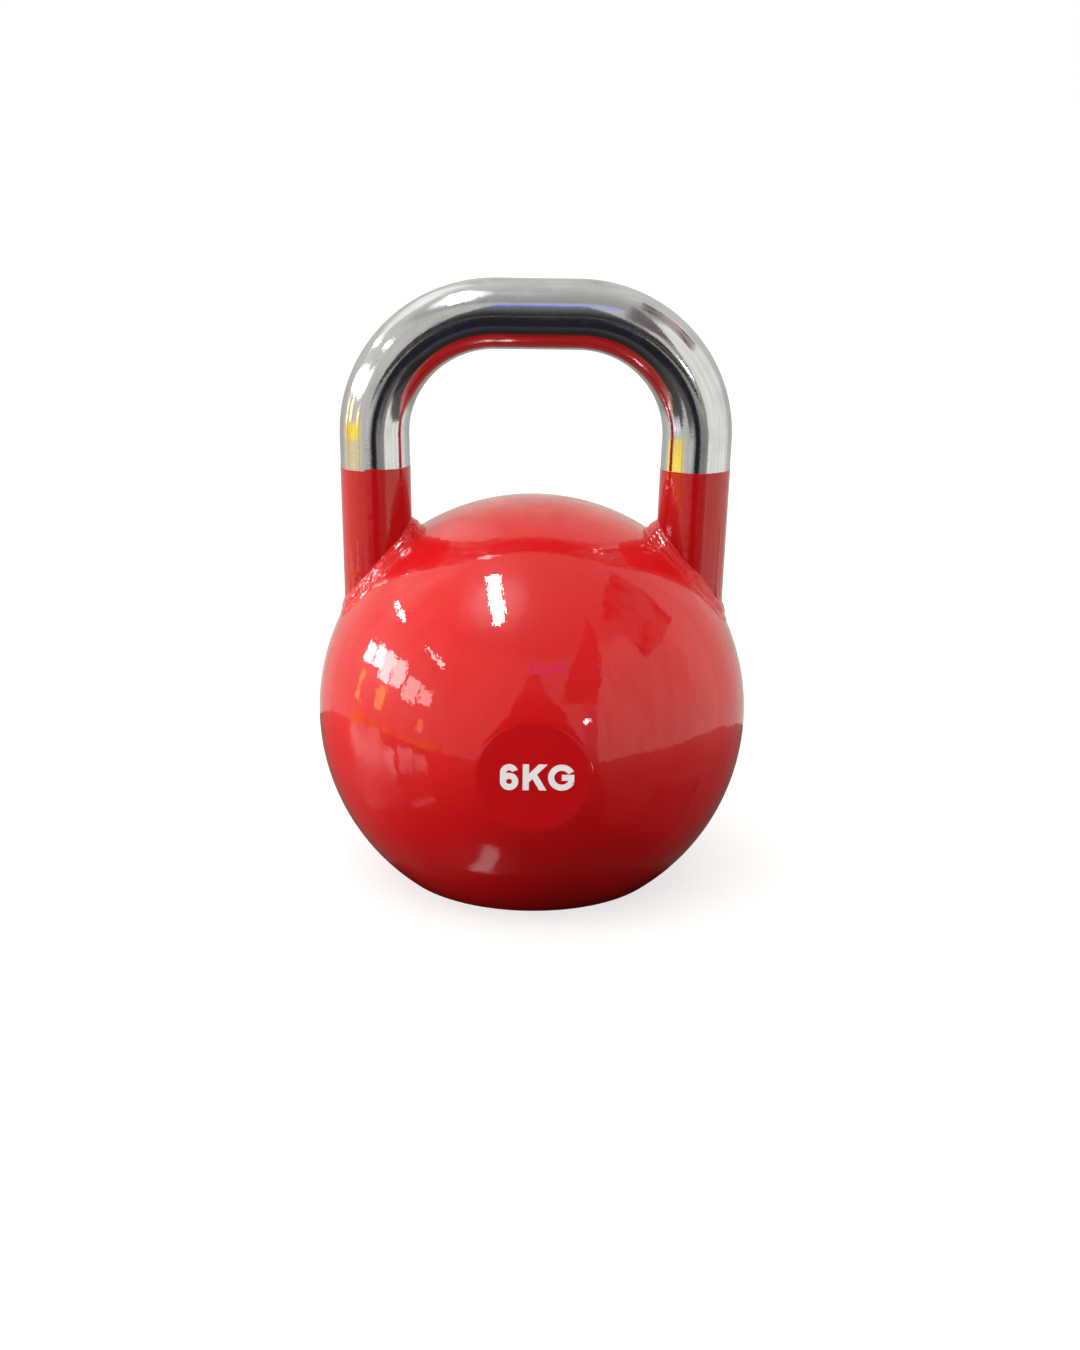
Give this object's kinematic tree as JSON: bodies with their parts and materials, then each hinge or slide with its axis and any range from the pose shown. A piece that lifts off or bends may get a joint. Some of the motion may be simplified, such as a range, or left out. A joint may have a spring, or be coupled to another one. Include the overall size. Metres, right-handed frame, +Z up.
{
  "type": "kettlebell",
  "caption": "Competition-pattern kettlebell: hollow enamelled steel ball, chromed tube handle on welded legs, flat welded base.",
  "frame": {"origin": "on the floor, at the middle of the flat base", "axes": "+Z up through the handle, +X along the handle's bar, -Y out of the badge with the weight marking"},
  "size_m": [0.21, 0.2034, 0.2947],
  "materials": {
    "red_enamel": "gloss",
    "chrome_plate": "polished",
    "zinc_plug": "satin",
    "ballast_mix": "matte",
    "white_marking": "satin"
  },
  "bodies": {
    "root": {"front_shell": "red_enamel", "back_shell": "red_enamel", "seam_weld": "red_enamel", "handle_tube": "chrome_plate", "left_leg_weld": "red_enamel", "right_leg_weld": "red_enamel", "base_plate": "red_enamel", "base_weld": "red_enamel", "filler_plug": "zinc_plug", "ballast": "ballast_mix", "weight_marking": "white_marking"}
  },
  "joints": []
}
